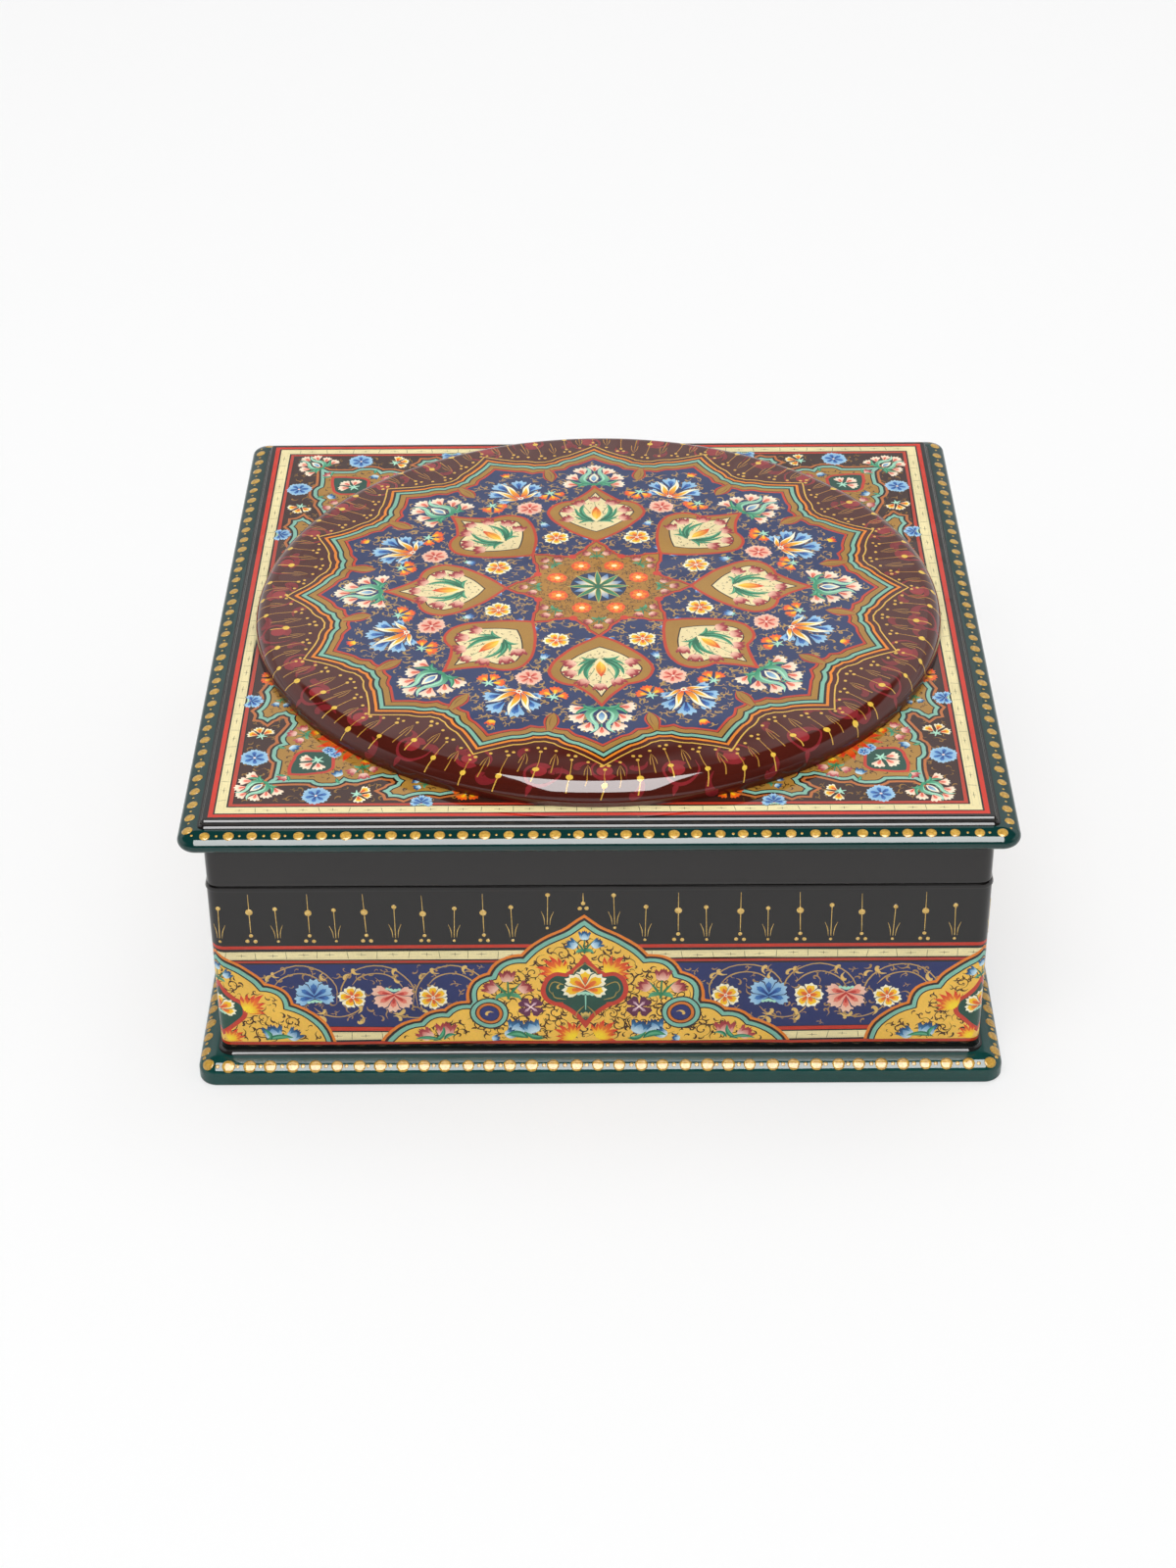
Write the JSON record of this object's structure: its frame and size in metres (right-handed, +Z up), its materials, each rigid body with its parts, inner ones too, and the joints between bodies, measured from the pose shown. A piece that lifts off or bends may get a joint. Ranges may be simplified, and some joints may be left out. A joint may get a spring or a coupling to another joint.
{
  "type": "papier mache box",
  "caption": "Square low papier mache box with mitred walls, a nosed plinth and a lift-off lid that carries a raised panel and a cushion-shaped round medallion.",
  "frame": {"origin": "middle of the underside, on the surface that the box stands on", "axes": "+X along the front to the right, +Y from front to back, +Z up, the way the lid lifts off"},
  "size_m": [0.2006, 0.2006, 0.0848],
  "materials": {
    "painted_walls": "gloss varnish over painted ground",
    "painted_mouldings": "gloss varnish over painted ground",
    "painted_panel": "gloss varnish over painted ground",
    "painted_medallion": "gloss varnish over painted ground",
    "lacquered_board": "black lacquer"
  },
  "bodies": {
    "base": {"plinth_front": "painted_mouldings", "plinth_right": "painted_mouldings", "plinth_back": "painted_mouldings", "plinth_left": "painted_mouldings", "base_wall_front": "painted_walls", "base_wall_right": "painted_walls", "base_wall_back": "painted_walls", "base_wall_left": "painted_walls", "rim_board_front": "lacquered_board", "rim_board_right": "lacquered_board", "rim_board_back": "lacquered_board", "rim_board_left": "lacquered_board", "base_floor": "lacquered_board"},
    "lid": {"lid_skirt_front": "painted_walls", "lid_skirt_right": "painted_walls", "lid_skirt_back": "painted_walls", "lid_skirt_left": "painted_walls", "lid_moulding_front": "painted_mouldings", "lid_moulding_right": "painted_mouldings", "lid_moulding_back": "painted_mouldings", "lid_moulding_left": "painted_mouldings", "lid_board": "lacquered_board", "lid_panel": "painted_panel", "lid_dome": "painted_medallion"}
  },
  "joints": [
    {"name": "lid_lift", "type": "slide", "parent": "base", "child": "lid", "axis": [0, 0, 1], "range_m": [0, 0.06]}
  ]
}
